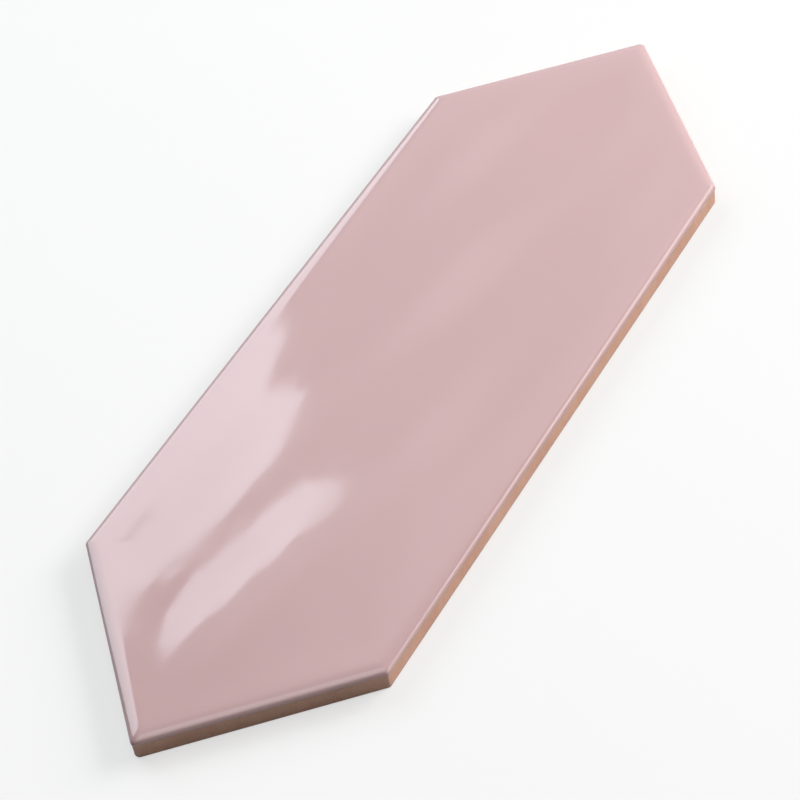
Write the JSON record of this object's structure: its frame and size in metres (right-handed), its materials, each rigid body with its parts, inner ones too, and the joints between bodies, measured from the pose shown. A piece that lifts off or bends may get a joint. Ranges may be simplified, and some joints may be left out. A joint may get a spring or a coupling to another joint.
{
  "type": "picket tile",
  "caption": "Glazed ceramic picket wall tile: an elongated hexagon with pointed ends, a gently waved pink face and bare clay edges.",
  "frame": {"origin": "middle of the back, on the plane that the tile rests on", "axes": "+X along the tile's length, +Y across its width, +Z out of the glazed face"},
  "size_m": [0.2986, 0.1, 0.0081],
  "materials": {
    "picket_tile": "gloss pink glaze over a biscuit-coloured clay body"
  },
  "bodies": {
    "root": {"picket_tile": "picket_tile"}
  },
  "joints": []
}
